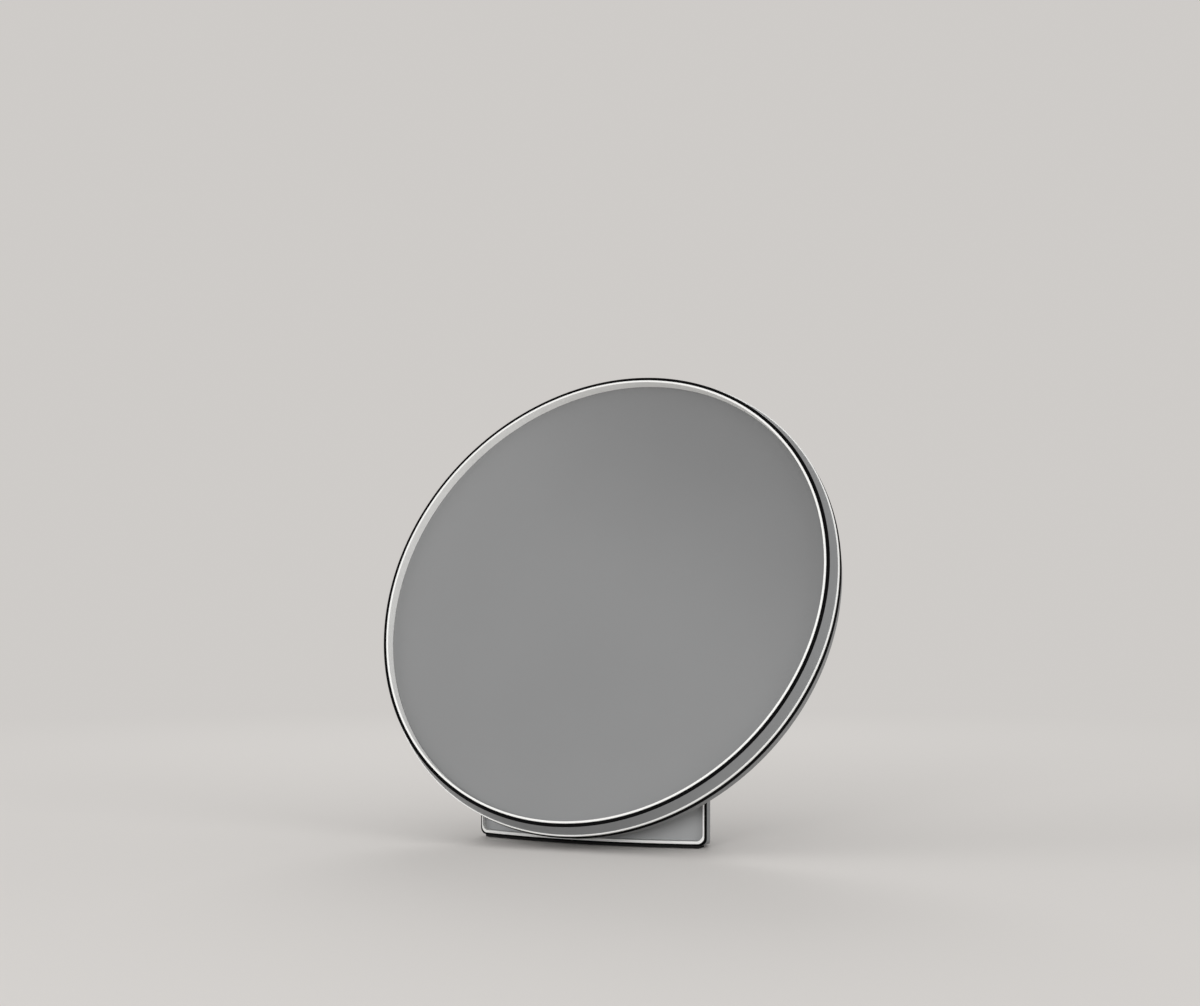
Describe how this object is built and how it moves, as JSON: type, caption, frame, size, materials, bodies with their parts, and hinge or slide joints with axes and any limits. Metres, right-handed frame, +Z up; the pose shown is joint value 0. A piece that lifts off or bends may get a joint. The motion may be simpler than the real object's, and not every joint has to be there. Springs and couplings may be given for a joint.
{
  "type": "light therapy lamp",
  "caption": "Round, thin light therapy lamp: an edge-lit disc with a recessed diffuser leans back on a friction hinge over a weighted, curve-fronted foot.",
  "frame": {"origin": "centre of the foot's length and width, on the underside of the rubber sole where it meets the table", "axes": "+Z up, the lit face looks towards -Y, +X to the right of someone who looks at the face"},
  "size_m": [0.225, 0.1034, 0.2135],
  "materials": {
    "diffuser": "satin opal acrylic, unlit",
    "white_shell": "fine satin moulding",
    "black_seal": "matte",
    "grey_shell": "fine satin moulding",
    "grey_fascia": "fine satin moulding",
    "clear_acrylic": "polished",
    "white_sheet": "matte",
    "flex_strip": "satin film",
    "led": "phosphor resin",
    "aluminium_plate": "mill finish",
    "screw_steel": "zinc plated",
    "circuit_board": "solder mask",
    "board_black": "matte",
    "contact": "plated",
    "touch_lens": "polished",
    "bracket_metal": "satin powder coat",
    "bush_brass": "turned",
    "black_base": "matte",
    "ballast_steel": "cut plate",
    "sole_rubber": "matte",
    "washer_plastic": "acetal"
  },
  "bodies": {
    "foot": {"foot_shell": "grey_shell", "foot_seal": "black_seal", "foot_frame": "white_shell", "foot_fascia": "grey_fascia", "base_plate": "black_base", "ballast_plate": "ballast_steel", "rubber_sole": "sole_rubber", "base_screws": "screw_steel", "ballast_screws": "screw_steel", "hinge_pin": "screw_steel", "friction_washers": "washer_plastic", "spring_washers": "screw_steel", "hinge_nut": "screw_steel", "hinge_caps": "grey_shell"},
    "head": {"diffuser_panel": "diffuser", "front_bezel": "white_shell", "front_seal": "black_seal", "housing_ring": "grey_shell", "trim_ring": "white_shell", "rear_seal": "black_seal", "rear_cover": "grey_shell", "light_guide": "clear_acrylic", "reflector_sheet": "white_sheet", "led_strip": "flex_strip", "led_chips": "led", "backing_plate": "aluminium_plate", "plate_screws": "screw_steel", "cover_screws_set": "screw_steel", "board_posts": "white_shell", "control_board": "circuit_board", "board_parts": "board_black", "board_screws": "screw_steel", "inlet_housing": "board_black", "inlet_pin": "contact", "touch_key": "touch_lens", "touch_sensor": "contact", "sensor_lead": "flex_strip", "led_lead": "flex_strip", "hinge_bracket": "bracket_metal", "bracket_screws": "screw_steel", "hinge_bushes": "bush_brass"}
  },
  "joints": [
    {"name": "head_tilt", "type": "hinge", "parent": "foot", "child": "head", "pos_m": [0, -0.012, 0.03747], "axis": [-1, 0, 0], "range_deg": [-5, 17]}
  ]
}
